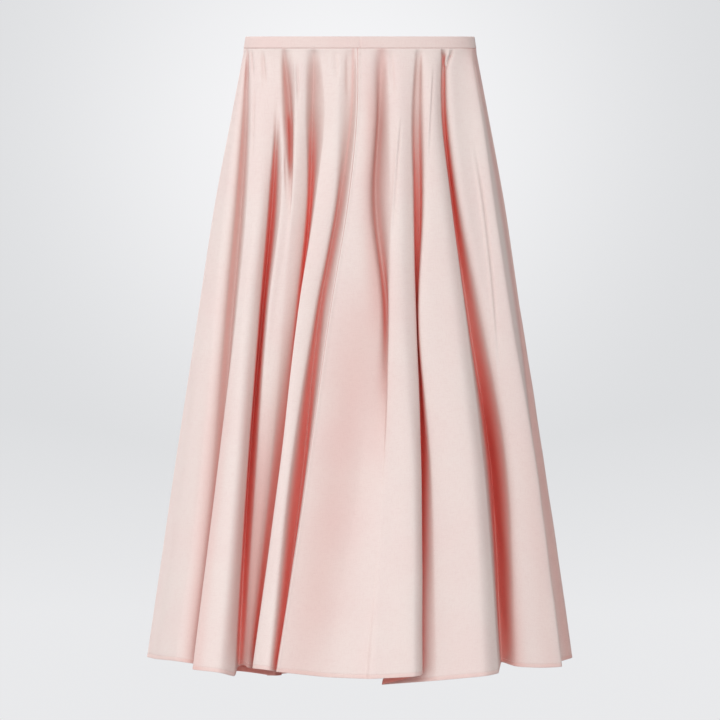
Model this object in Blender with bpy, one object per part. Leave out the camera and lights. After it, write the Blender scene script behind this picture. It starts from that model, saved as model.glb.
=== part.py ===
"""Circle skirt, filled out: walls of cloth that hang in flutes from a narrow waistband.

Frame: metres, +Z up. The front faces -Y, and +X is on the right of someone who faces it.
The origin is the centre of the waist opening, level with the waistband's top edge.
Sizes in the tables are millimetres.

The cloth is lofted through level rings. A ring is an oval that the folds push in: every fold is
a line that runs down the skirt, and a ring is a smooth curve through the lines of its level.
"""
import math
from typing import NamedTuple

import bmesh
import bpy
import numpy as np

MM = 0.001

# Cloth and seams
CLOTH = 1.2             # panel wall
BAND_CLOTH = 2.4        # the waistband is doubled and interfaced
SEAM_GAP = 0.3          # between any two pieces

# Waistband
BAND_HEIGHT = 15.4
BAND_TOP_HALF_WIDTH = 152.0
BAND_TOP_HALF_DEPTH = 61.0
BAND_DIP = 2.0          # front and back of the band lie this much below its sides
BAND_COLUMNS = 96
BAND_ROWS = 2

# Oval that the flutes touch, at shares of the way from the waist seam to the hem
STATIONS = (0.0, 0.10, 0.24, 0.42, 0.66, 1.0)
HALF_WIDTH = (154.5, 170, 191, 213, 244, 285)
FRONT_DEPTH = (62, 74, 92, 114, 143, 185)
BACK_DEPTH = (62, 76, 97, 121, 153, 196)
OVAL_POWER = 2.3        # 2 is an ellipse, more is squarer
FOLD_BLOOM = 3.0        # how much faster folds deepen right under the band

# Mesh
FOLD_COLUMNS = 4        # columns for each fold line
PANEL_ROWS = 11
ROW_BUNCHING = 1.25     # over 1, rows lie closer together under the band

SKIRT_COLOUR = (0.83, 0.66, 0.61, 1.0)
BAND_COLOUR = (0.85, 0.69, 0.64, 1.0)
CLOTH_ROUGHNESS = 0.85
SHARP_EDGE = math.radians(50)


class Fold(NamedTuple):
    """One line down the skirt: where it is at each station, and how tightly it turns."""
    name: str
    across: tuple       # x at each station
    inward: tuple       # depth behind the oval at each station after the first
    drop: float         # hem's depth below the origin
    turn: float         # width of its rounded turn, less where the next fold is near


class BackFlute(NamedTuple):
    """One flute of the back, met from the right side to the left."""
    name: str
    valley: tuple       # x of the fold before it, at the waist and at the hem
    near: tuple         # x of its first edge
    crest: tuple
    far: tuple
    deep: float         # depth of the valley at the hem
    tuck: float         # depth of the first edge at the hem
    back_off: float     # depth of the crest at the hem
    start: float        # share of the way down where its valley opens
    bow: float          # how far its lines bend sideways at half height
    drop: tuple         # hem's depth below the origin at its first edge and at its last


FRONT_FOLDS = (
    # name, x at the six stations, depth at the five after the waist, drop, turn
    Fold("left_flute", (-153, -163, -175, -190, -207, -243), (0, 0, 0, 0, 0), 832, 60),
    Fold("valley_a", (-150, -151, -157, -169, -184, -206), (14, 21, 23, 18, 17), 838, 6),
    Fold("flute_2_left", (-146, -146, -150, -163, -187, -221), (1, 2, 3, 3, -4), 842, 5),
    Fold("flute_2", (-135, -133, -134, -149, -163, -186), (0, 0, 0, 0, 0), 846, 20),
    Fold("flute_2_right", (-120, -116, -122, -134, -149, -166), (4, 9, 15, 20, 26), 851, 6),
    Fold("valley_b", (-115, -111, -116, -129, -146, -161), (6, 29, 42, 54, 52), 839, 4),
    Fold("recess_left", (-107, -104, -104, -121, -136, -154), (7, 2, 7, 27, 49), 837, 8),
    Fold("valley_c", (-101, -93, -93, -111, -127, -149), (19, 5, 9, 26, 48), 840, 7),
    Fold("recess", (-88, -86, -89, -101, -117, -146), (0, 2, 11, 30, 50), 841, 8),
    Fold("recess_right", (-72, -73, -71, -85, -105, -141), (3, 13, 20, 41, 58), 841, 8),
    Fold("valley_d", (-61, -63, -66, -78, -97, -120), (19, 30, 31, 47, 64), 842, 5),
    Fold("flute_3_left", (-53, -47, -58, -81, -104, -142), (5, 2, 3, 6, 11), 840, 4),
    Fold("flute_3", (-28, -29, -34, -60, -91, -121), (0, 1, 7, 5, 3), 842, 12),
    Fold("valley_e", (-9, -11, -26, -53, -74, -107), (9, 14, 24, 37, 20), 845, 6),
    Fold("centre_seam", (-3, -4, -15, -39, -67, -110), (0, 0, 0, 0, 0), 844, 4),
    Fold("flute_4", (14, 18, 11, 26, 2, -44), (0, 1, 6, 7, 9), 851, 18),
    Fold("valley_f", (29, 26, 21, 36, 30, 6), (14, 21, 16, 2, 5), 853, 7),
    Fold("flute_5_left", (40, 40, 41, 39, 34, 14), (3, 3, 1, 0, 0), 853, 9),
    Fold("flute_5", (53, 53, 55, 57, 70, 72), (0, 0, -1, -2, -3), 850, 18),
    Fold("flute_5_right", (73, 68, 70, 74, 81, 82), (4, 8, 10, 12, 15), 848, 5),
    Fold("valley_g_front", (77, 73, 74, 73, 72, 30), (13, 25, 33, 40, 42), 862, 6),
    Fold("valley_g_back", (80, 78, 80, 79, 79, 37), (13, 27, 36, 47, 54), 862, 6),
    Fold("flute_6_left", (85, 86, 86, 79, 94, 101), (2, 3, 6, 11, 14), 856, 12),
    Fold("flute_6", (98, 98, 109, 126, 149, 166), (0, 0, 0, 0, 0), 850, 22),
    Fold("flute_6_right", (107, 107, 120, 139, 163, 183), (6, 8, 9, 11, 14), 847, 6),
    Fold("valley_h", (111, 111, 122, 142, 172, 188), (19, 33, 44, 74, 56), 834, 4),
    Fold("flute_7_left", (117, 119, 132, 160, 194, 207), (5, 9, 16, 22, 30), 839, 18),
    Fold("flute_7", (136, 141, 157, 180, 214, 240), (2, 3, 4, 4, 10), 841, 30),
    Fold("flute_7_right", (148, 161, 177, 199, 232, 268), (-8, -9, -10, -13, -14), 840, 8),
    Fold("valley_i", (153, 168, 188, 210, 232, 262), (8, 13, 17, 18, 34), 836, 6),
)

SIDE_FOLDS = (
    # as above, but with y at the six stations and the depth along x
    Fold("right_side", (0, 0, 0, 0, -14, -22), (0, 0, 0, 0, 0), 830, 16),
    Fold("right_valley", (7, 10, 15, 20, 27, 35), (3, 9, 17, 27, 44), 832, 9),
    Fold("left_valley", (6, 9, 13, 18, 25, 33), (3, 8, 15, 24, 38), 830, 9),
    Fold("left_side", (0, 0, 0, 0, 0, 0), (0, 0, 0, 0, 0), 830, 16),
)

BACK_FLUTES = (
    # name, valley, near, crest and far as (waist x, hem x), deep, tuck, back_off, start, bow, drop
    BackFlute("back_1", None, (152, 275), (149, 262), (145, 246), 0, 6, 0, 0.0, 0, (834, 835)),
    BackFlute("back_2", (142, 238), (138, 228), (128, 204), (117, 177), 58, 16, -2, 0.02, 2, (836, 837)),
    BackFlute("back_3", (112, 187), (108, 178), (99, 152), (90, 130), 66, 76, 5, 0.12, 3, (838, 841)),
    BackFlute("back_4", (86, 123), (81, 115), (60, 68), (38, 28), 46, 14, -3, 0.28, 2, (844, 848)),
    BackFlute("back_5", (32, 46), (26, 36), (2, -18), (-24, -64), 74, 88, 0, 0.03, -3, (850, 853)),
    BackFlute("back_6", (-30, -71), (-36, -79), (-50, -101), (-64, -126), 86, 18, 4, 0.02, -4, (856, 861)),
    BackFlute("back_7", (-70, -107), (-76, -116), (-94, -160), (-112, -198), 60, 72, -3, 0.06, -3, (859, 852)),
    BackFlute("back_8", (-118, -206), (-123, -215), (-131, -232), (-138, -247), 76, 20, 2, 0.03, 1, (842, 836)),
    BackFlute("back_9", (-142, -253), (-146, -260), (-150, -269), (-153, -278), 42, 18, 0, 0.16, 0, (831, 830)),
)
BACK_EDGE_DEPTH = 9.0
CREST_TURN = 24.0
EDGE_TURN = 7.0
VALLEY_TURN = 8.0


# ---------------------------------------------------------------- lines down the skirt

def down(values, share, bloom=1.0):
    """Smooth curve through one value a station, read at a share of the way down.

    At the waist its slope is that of the first stretch, times the bloom.
    """
    stations = np.array(STATIONS)
    values = np.array(values, float)
    slopes = np.gradient(values, stations)
    slopes[0] *= bloom
    k = min(int(np.searchsorted(stations, share, side="right")) - 1, len(stations) - 2)
    span = stations[k + 1] - stations[k]
    u = (share - stations[k]) / span
    return ((1 + 2 * u) * (1 - u) ** 2 * values[k] + u * (1 - u) ** 2 * span * slopes[k]
            + u ** 2 * (3 - 2 * u) * values[k + 1] + u ** 2 * (u - 1) * span * slopes[k + 1])


def bowed(waist, hem, bow):
    """A back line's x at every station: straight but for a slight bow."""
    return tuple(waist + (hem - waist) * share + bow * math.sin(math.pi * share)
                 for share in STATIONS)


def opening(deep, start):
    """Depth of a back fold at the stations after the waist."""
    return tuple(deep * max(0.0, share - start) / (1 - start) for share in STATIONS[1:])


def back_lines(flute):
    """The lines of one back flute, in the order in which the ring meets them."""
    first, last = flute.drop
    parts = [("valley", flute.valley, opening(flute.deep, flute.start), first, VALLEY_TURN),
             ("near", flute.near, opening(flute.tuck, flute.start), first, EDGE_TURN),
             ("crest", flute.crest, opening(flute.back_off, 0), (first + last) / 2, CREST_TURN),
             ("far", flute.far, opening(flute.back_off + BACK_EDGE_DEPTH, 0), last, EDGE_TURN)]
    return [Fold(f"{flute.name}_{part}", bowed(*across, flute.bow), inward, drop, turn)
            for part, across, inward, drop, turn in parts if across]


def ring_lines():
    """Every line of the ring with its face, from the left side over the front, then the back."""
    right_side, right_valley, left_valley, left_side = SIDE_FOLDS
    back = [line for flute in BACK_FLUTES for line in back_lines(flute)]
    return [(left_side, "left")] + [(line, "front") for line in FRONT_FOLDS] \
        + [(right_side, "right"), (right_valley, "right")] \
        + [(line, "back") for line in back] + [(left_valley, "left")]


# ---------------------------------------------------------------- rings

def oval_reach(offset, half_length, half_depth):
    """Distance of the oval from one axis, at an offset along that axis."""
    inside = max(0.0, 1 - min(1.0, abs(offset) / half_length) ** OVAL_POWER)
    return half_depth * inside ** (1 / OVAL_POWER)


def line_point(line, face, share, top):
    """Where a line crosses the ring at a share of the way down."""
    offset = down(line.across, share)
    inward = down((0,) + tuple(line.inward), share, FOLD_BLOOM)
    half_width = down(HALF_WIDTH, share)
    half_depth = down(FRONT_DEPTH if face == "front" else BACK_DEPTH, share)
    z = top + (-line.drop - top) * share
    if face in ("left", "right"):
        reach = oval_reach(offset, half_depth, half_width) - inward
        return (reach if face == "right" else -reach, offset, z)
    reach = oval_reach(offset, half_width, half_depth) - inward
    return (offset, reach if face == "back" else -reach, z)


def turn_ends(points, turns):
    """Two corners for each line, half a turn before and after it, square to the fold's bisector."""
    arriving = points - np.roll(points, 1, 0)
    leaving = np.roll(arriving, -1, 0)
    before = np.linalg.norm(arriving[:, :2], axis=1)
    after = np.linalg.norm(leaving[:, :2], axis=1)
    along = arriving / before[:, None] + leaving / after[:, None]
    along /= np.linalg.norm(along[:, :2], axis=1)[:, None]
    room = np.minimum(before, after)
    width = turns * room / (turns + room)
    return np.stack([points - along * width[:, None] / 2, points + along * width[:, None] / 2], 1)


def rounded_ring(points, turns, per_fold):
    """Closed smooth curve through the lines' points, with as many columns for each fold.

    Each fold has two corners, and the curve is a parabola from midpoint to midpoint of the
    sides of that polygon, so it passes through each line's own point.
    """
    corners = turn_ends(np.array(points), np.array(turns, float)).reshape(-1, 3)
    before = (corners + np.roll(corners, 1, 0)) / 2
    after = (corners + np.roll(corners, -1, 0)) / 2
    per_corner = per_fold // 2
    steps = [k / per_corner for k in range(per_corner)]
    arcs = [(1 - u) ** 2 * before + 2 * u * (1 - u) * corners + u ** 2 * after for u in steps]
    ring = np.stack(arcs, 1).reshape(-1, 3)
    return np.roll(ring, -per_corner, 0)


def outward(ring):
    """Level unit vectors that point out of a ring that runs left to right over the front."""
    along = np.roll(ring, -1, 0) - np.roll(ring, 1, 0)
    normal = np.stack([along[:, 1], -along[:, 0], np.zeros(len(ring))], 1)
    return normal / np.linalg.norm(normal, axis=1)[:, None]


def skirt_rings(per_fold, rows):
    """Mid-surface rings and their outward vectors, from the waist seam to the hem."""
    lines = ring_lines()
    turns = [line.turn for line, _ in lines]
    top = -(BAND_HEIGHT + SEAM_GAP)
    rings = []
    for row in range(rows + 1):
        share = (row / rows) ** ROW_BUNCHING
        points = [line_point(line, face, share, top) for line, face in lines]
        ring = rounded_ring(points, turns, per_fold)
        ring[:, 2] -= BAND_DIP * (1 - share) * band_sag(ring)
        rings.append(ring)
    return np.array(rings), np.array([outward(ring) for ring in rings])


def band_sag(ring):
    """0 at the sides and 1 at the middle of the front and back."""
    return np.abs(ring[:, 1]) / np.abs(ring[:, 1]).max()


# ---------------------------------------------------------------- solids

def new_material(name, colour):
    """A matt cloth material."""
    material = bpy.data.materials.new(name)
    material.use_nodes = True
    shader = material.node_tree.nodes["Principled BSDF"]
    shader.inputs["Base Color"].default_value = colour
    shader.inputs["Roughness"].default_value = CLOTH_ROUGHNESS
    shader.inputs["Metallic"].default_value = 0.0
    material.diffuse_color = colour
    return material


def wall(name, middle, normals, thickness, colour, collection):
    """Closed wall round an open sheet of points, half its thickness to each side."""
    outer = (middle + normals * thickness / 2) * MM
    inner = (middle - normals * thickness / 2) * MM
    loops = np.concatenate([outer, inner[:, ::-1]], 1)
    rows, size, columns = loops.shape[0], loops.shape[1], middle.shape[1]
    mesh = bmesh.new()
    verts = [[mesh.verts.new(point) for point in loop] for loop in loops]
    for row in range(rows - 1):
        for k in range(size):
            after = (k + 1) % size
            mesh.faces.new((verts[row][k], verts[row + 1][k], verts[row + 1][after],
                            verts[row][after]))
    for loop in (verts[0], verts[-1]):
        for k in range(columns - 1):
            mesh.faces.new((loop[k], loop[k + 1], loop[size - 2 - k], loop[size - 1 - k]))
    bmesh.ops.recalc_face_normals(mesh, faces=mesh.faces)
    data = bpy.data.meshes.new(name)
    mesh.to_mesh(data)
    mesh.free()
    data.shade_smooth()
    data.set_sharp_from_angle(angle=SHARP_EDGE)
    data.materials.append(new_material(name + "_cloth", colour))
    piece = bpy.data.objects.new(name, data)
    collection.objects.link(piece)
    return piece


def panel(name, rings, normals, first, last, collection):
    """One cut piece: the columns from one seam to the next, short of each by half a seam gap."""
    columns = np.arange(first, last + 1) % rings.shape[1]
    middle = rings[:, columns].copy()
    for edge, inside in ((0, 1), (-1, -2)):
        along = middle[:, inside] - middle[:, edge]
        along /= np.linalg.norm(along, axis=1)[:, None]
        middle[:, edge] += along * SEAM_GAP / 2
    return wall(name, middle, normals[:, columns], CLOTH, SKIRT_COLOUR, collection)


def seam_column(name, per_fold):
    """Column that lies on a line."""
    names = [line.name for line, _ in ring_lines()]
    return names.index(name) * per_fold


def build_panels(collection):
    """Front halves, which meet at the centre seam, and the back between the side seams."""
    rings, normals = skirt_rings(FOLD_COLUMNS, PANEL_ROWS)
    left = seam_column("left_side", FOLD_COLUMNS)
    centre = seam_column("centre_seam", FOLD_COLUMNS)
    right = seam_column("right_side", FOLD_COLUMNS)
    panel("front_left", rings, normals, left, centre, collection)
    panel("front_right", rings, normals, centre, right, collection)
    panel("back", rings, normals, right, left + rings.shape[1], collection)


def band_ring(level):
    """Oval of the band, at a share of its height from the top, open at the centre front."""
    half_width = BAND_TOP_HALF_WIDTH + (HALF_WIDTH[0] - BAND_TOP_HALF_WIDTH) * level
    half_depth = BAND_TOP_HALF_DEPTH + (FRONT_DEPTH[0] - BAND_TOP_HALF_DEPTH) * level
    slit = (SEAM_GAP / 2 / half_width) ** (OVAL_POWER / 2)
    points = []
    for angle in np.linspace(slit, 2 * math.pi - slit, BAND_COLUMNS + 1):
        side, front = math.sin(angle), math.cos(angle)
        x = half_width * math.copysign(abs(side) ** (2 / OVAL_POWER), side)
        y = -half_depth * math.copysign(abs(front) ** (2 / OVAL_POWER), front)
        z = -BAND_HEIGHT * level - BAND_DIP * abs(y) / half_depth
        points.append((x, y, z))
    return np.array(points)


def build_waistband(collection):
    """One narrow strip, whose ends meet at the centre front."""
    rings = np.array([band_ring(row / BAND_ROWS) for row in range(BAND_ROWS + 1)])
    along = np.gradient(rings, axis=1)
    normals = np.stack([along[..., 1], -along[..., 0], np.zeros(along.shape[:2])], 2)
    normals /= np.linalg.norm(normals, axis=2)[..., None]
    wall("waistband", rings, normals, BAND_CLOTH, BAND_COLOUR, collection)


def clear_scene():
    for thing in list(bpy.data.objects):
        bpy.data.objects.remove(thing, do_unlink=True)


def main():
    clear_scene()
    collection = bpy.data.collections.new("circle_skirt")
    bpy.context.scene.collection.children.link(collection)
    build_waistband(collection)
    build_panels(collection)


main()
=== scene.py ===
"""Looks of the circle skirt: fine walls of cloth, stitching, woven pink material, studio, camera.

Frame: metres, +Z up. The front faces -Y, and the origin is the centre of the waist opening,
level with the waistband's top edge. Sizes in the tables are millimetres.

The panels follow the same rings as the solids: a ring is an oval that the folds push in, every
fold is a line that runs down the skirt, and a ring is a smooth curve through the lines of its
level. Creases and puckers are then pressed into the fine walls, each beside a named line.
"""
import math
from typing import NamedTuple

import bpy
import numpy as np
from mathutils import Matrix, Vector


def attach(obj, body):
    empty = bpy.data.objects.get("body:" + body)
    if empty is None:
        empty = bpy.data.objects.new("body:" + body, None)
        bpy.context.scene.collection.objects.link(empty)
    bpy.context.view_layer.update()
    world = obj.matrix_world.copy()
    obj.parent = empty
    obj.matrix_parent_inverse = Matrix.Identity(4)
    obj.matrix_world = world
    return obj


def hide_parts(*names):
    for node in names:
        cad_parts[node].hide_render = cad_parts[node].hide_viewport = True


MM = 0.001

# Cloth and seams
CLOTH = 0.35            # one layer of the panel cloth
HEM_TURNING = 0.8       # cloth folded twice at the hem adds this on the inside
HEM_DEPTH = 7.0
HEM_STITCH = 5.5        # stitches lie this far above the hem's edge
HEM_ROUND = 0.3         # how far the hem's edge turns in
HEM_EDGE = 0.4          # and over about this height
STITCH_DENT = 0.2       # stitches draw the cloth in
STITCH_PITCH = 2.8
STITCH_LENGTH = 2.1
STITCH_RINGS = ((-0.5, 0.45), (-0.32, 1.0), (0.32, 1.0), (0.5, 0.45))   # place along it, girth
STITCH_SIDES = 5
STITCH_RISE = 0.4       # its middle lies this part of its half thickness out of the cloth
THREAD = 0.17           # half thickness of the thread
BAND_CLOTH = 2.4
SEAM_GAP = 0.3
SEAM_DIP = 0.55         # cloth turns in at a seam, this deep
SEAM_ROLL = 0.9         # and over about this width
LAP_HEIGHT = 0.7        # the centre seam's allowances stand up beside it
LAP_FROM_SEAM = 2.0
LAP_WIDTH = 1.2
WAIST_PUFF = 0.8        # cloth stands out just under the band
PUFF_REACH = 9.0

# Waistband
BAND_HEIGHT = 15.4
BAND_TOP_HALF_WIDTH = 152.0
BAND_TOP_HALF_DEPTH = 61.0
BAND_DIP = 2.0          # it lies this much lower at the front and back than at the sides
BAND_SLIT = 0.2         # its ends all but touch
JOIN_COLUMNS = (0.5, 1.0, 1.6, 2.4)     # columns this far from where they meet
JOIN_ROLL = 1.3         # its ends turn in over about this width
JOIN_DIP = 0.4          # by this part of its half thickness
BAND_COLUMNS = 480
BAND_TOP_ROWS = 5       # rows on each side of its folded top edge
BAND_ROWS = (0.12, 0.9, 8)      # first and last share of its height, and how many rows
BAND_FOOT = ((0.0, 0.5), (0.15, 0.1), (0.5, 0.0))       # in from its face, above its lower edge
BAND_WEAVE_ROWS = 10    # the weave is laid as if this many rows made up its height
BAND_STITCH = 0.86      # share of its height where it is stitched down inside
BAND_SHARP = math.radians(50)
BAND_WASH = 0.4         # how much pinker the doubled cloth is

# Oval that the flutes touch, at shares of the way from the waist seam to the hem
STATIONS = (0.0, 0.10, 0.24, 0.42, 0.66, 1.0)
HALF_WIDTH = (154.5, 170, 191, 213, 244, 285)
FRONT_DEPTH = (62, 74, 92, 114, 143, 185)
BACK_DEPTH = (62, 76, 97, 121, 153, 196)
OVAL_POWER = 2.3
FOLD_BLOOM = 3.0        # how much faster folds deepen right under the band

# Mesh
FOLD_COLUMNS = 48       # columns worked out for each fold, of which a panel keeps some
FRONT_COLUMNS = 318
BACK_COLUMNS = 376
SEAM_COLUMNS = 7        # every second column is kept this often beside a seam
SPREAD_LEVELS = (0.10, 0.35, 0.80)      # levels at which kept columns are spread
TURN_WORTH = 0.7        # turning counts this much beside length
PANEL_ROWS = 112
ROW_BUNCHING = 1.25
EDGE_ROWS = (0.3, 1.0, 2.5, 4.0)        # more rows this far above the hem's edge,
STITCH_ROWS = (-0.8, 0.0, 0.8)          # about its stitches
TURNING_ROWS = (-0.1, 0.3, 1.5)         # and about the top of its turning
HEM_CLEAR = 3.0         # even rows end this far above the turning
CREASE_UP = 0.25        # a crease is at its full height from this share of its length
CREASE_DOWN = 0.6       # to this one

# Cut: each panel is a piece of one ring of cloth
CUT_RADIUS = 296.0      # waist seam's radius on the flat cloth
CUT_LENGTH = 838.0      # waist seam to hem


class Fold(NamedTuple):
    """One line down the skirt: where it is at each station, and how tightly it turns."""
    name: str
    across: tuple       # x at each station
    inward: tuple       # depth behind the oval at each station after the first
    drop: float         # hem's depth below the origin
    turn: float         # width of its rounded turn, less where the next fold is near


class Flute(NamedTuple):
    """One flute of the back, met from the right side to the left."""
    name: str
    valley: tuple       # x of the fold before it, at the waist and at the hem
    near: tuple         # x of its first edge
    crest: tuple
    far: tuple
    deep: float         # depth of the valley at the hem
    tuck: float         # depth of the first edge at the hem
    back_off: float     # depth of the crest at the hem
    start: float        # share of the way down where its valley opens
    bow: float          # how far its lines bend sideways at half height
    drop: tuple         # hem's depth below the origin at its first edge and at its last


class Crease(NamedTuple):
    """A soft trough or ridge that keeps beside one line."""
    line: str
    beside: tuple       # distance from the line along the cloth, at its top, middle and end
    reach: tuple        # shares of the way down where it starts and ends
    height: float       # out of the cloth, and below 0 into it
    width: tuple        # half width at half height, at its top and at its end


class Ripple(NamedTuple):
    """Faint waves that run round the whole skirt."""
    count: int
    slant: float        # waves that it drifts sideways on the way down
    height: float


class Sun(NamedTuple):
    name: str
    azimuth: float
    elevation: float
    strength: float


FRONT_FOLDS = (
    # name, x at the six stations, depth at the five after the waist, drop, turn
    Fold("left_flute", (-153, -163, -175, -190, -207, -243), (0, 0, 0, 0, 0), 832, 60),
    Fold("valley_a", (-150, -151, -157, -169, -184, -206), (14, 21, 23, 18, 17), 838, 6),
    Fold("flute_2_left", (-146, -146, -150, -163, -187, -221), (1, 2, 3, 3, -4), 842, 5),
    Fold("flute_2", (-135, -133, -134, -149, -163, -186), (0, 0, 0, 0, 0), 846, 20),
    Fold("flute_2_right", (-120, -116, -122, -134, -149, -166), (4, 9, 15, 20, 26), 851, 6),
    Fold("valley_b", (-115, -111, -116, -129, -146, -161), (6, 29, 42, 54, 52), 839, 4),
    Fold("recess_left", (-107, -104, -104, -121, -136, -154), (7, 2, 7, 27, 49), 837, 8),
    Fold("valley_c", (-101, -93, -93, -111, -127, -149), (19, 5, 9, 26, 48), 840, 7),
    Fold("recess", (-88, -86, -89, -101, -117, -146), (0, 2, 11, 30, 50), 841, 8),
    Fold("recess_right", (-72, -73, -71, -85, -105, -141), (3, 13, 20, 41, 58), 841, 8),
    Fold("valley_d", (-61, -63, -66, -78, -97, -120), (19, 30, 31, 47, 64), 842, 5),
    Fold("flute_3_left", (-53, -47, -58, -81, -104, -142), (5, 2, 3, 6, 11), 840, 4),
    Fold("flute_3", (-28, -29, -34, -60, -91, -121), (0, 1, 7, 5, 3), 842, 12),
    Fold("valley_e", (-9, -11, -26, -53, -74, -107), (9, 14, 24, 37, 20), 845, 6),
    Fold("centre_seam", (-3, -4, -15, -39, -67, -110), (0, 0, 0, 0, 0), 844, 4),
    Fold("flute_4", (14, 18, 11, 26, 2, -44), (0, 1, 6, 7, 9), 851, 18),
    Fold("valley_f", (29, 26, 21, 36, 30, 6), (14, 21, 16, 2, 5), 853, 7),
    Fold("flute_5_left", (40, 40, 41, 39, 34, 14), (3, 3, 1, 0, 0), 853, 9),
    Fold("flute_5", (53, 53, 55, 57, 70, 72), (0, 0, -1, -2, -3), 850, 18),
    Fold("flute_5_right", (73, 68, 70, 74, 81, 82), (4, 8, 10, 12, 15), 848, 5),
    Fold("valley_g_front", (77, 73, 74, 73, 72, 30), (13, 25, 33, 40, 42), 862, 6),
    Fold("valley_g_back", (80, 78, 80, 79, 79, 37), (13, 27, 36, 47, 54), 862, 6),
    Fold("flute_6_left", (85, 86, 86, 79, 94, 101), (2, 3, 6, 11, 14), 856, 12),
    Fold("flute_6", (98, 98, 109, 126, 149, 166), (0, 0, 0, 0, 0), 850, 22),
    Fold("flute_6_right", (107, 107, 120, 139, 163, 183), (6, 8, 9, 11, 14), 847, 6),
    Fold("valley_h", (111, 111, 122, 142, 172, 188), (19, 33, 44, 74, 56), 834, 4),
    Fold("flute_7_left", (117, 119, 132, 160, 194, 207), (5, 9, 16, 22, 30), 839, 18),
    Fold("flute_7", (136, 141, 157, 180, 214, 240), (2, 3, 4, 4, 10), 841, 30),
    Fold("flute_7_right", (148, 161, 177, 199, 232, 268), (-8, -9, -10, -13, -14), 840, 8),
    Fold("valley_i", (153, 168, 188, 210, 232, 262), (8, 13, 17, 18, 34), 836, 6),
)

SIDE_FOLDS = (
    # as above, but with y at the six stations and the depth along x
    Fold("right_side", (0, 0, 0, 0, -14, -22), (0, 0, 0, 0, 0), 830, 16),
    Fold("right_valley", (7, 10, 15, 20, 27, 35), (3, 9, 17, 27, 44), 832, 9),
    Fold("left_valley", (6, 9, 13, 18, 25, 33), (3, 8, 15, 24, 38), 830, 9),
    Fold("left_side", (0, 0, 0, 0, 0, 0), (0, 0, 0, 0, 0), 830, 16),
)

BACK_FLUTES = (
    # name, valley, near, crest and far as (waist x, hem x), deep, tuck, back_off, start, bow, drop
    Flute("back_1", None, (152, 275), (149, 262), (145, 246), 0, 6, 0, 0.0, 0, (834, 835)),
    Flute("back_2", (142, 238), (138, 228), (128, 204), (117, 177), 58, 16, -2, 0.02, 2, (836, 837)),
    Flute("back_3", (112, 187), (108, 178), (99, 152), (90, 130), 66, 76, 5, 0.12, 3, (838, 841)),
    Flute("back_4", (86, 123), (81, 115), (60, 68), (38, 28), 46, 14, -3, 0.28, 2, (844, 848)),
    Flute("back_5", (32, 46), (26, 36), (2, -18), (-24, -64), 74, 88, 0, 0.03, -3, (850, 853)),
    Flute("back_6", (-30, -71), (-36, -79), (-50, -101), (-64, -126), 86, 18, 4, 0.02, -4, (856, 861)),
    Flute("back_7", (-70, -107), (-76, -116), (-94, -160), (-112, -198), 60, 72, -3, 0.06, -3, (859, 852)),
    Flute("back_8", (-118, -206), (-123, -215), (-131, -232), (-138, -247), 76, 20, 2, 0.03, 1, (842, 836)),
    Flute("back_9", (-142, -253), (-146, -260), (-150, -269), (-153, -278), 42, 18, 0, 0.16, 0, (831, 830)),
)
BACK_EDGE_DEPTH = 9.0
CREST_TURN = 24.0
EDGE_TURN = 7.0
VALLEY_TURN = 8.0

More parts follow.
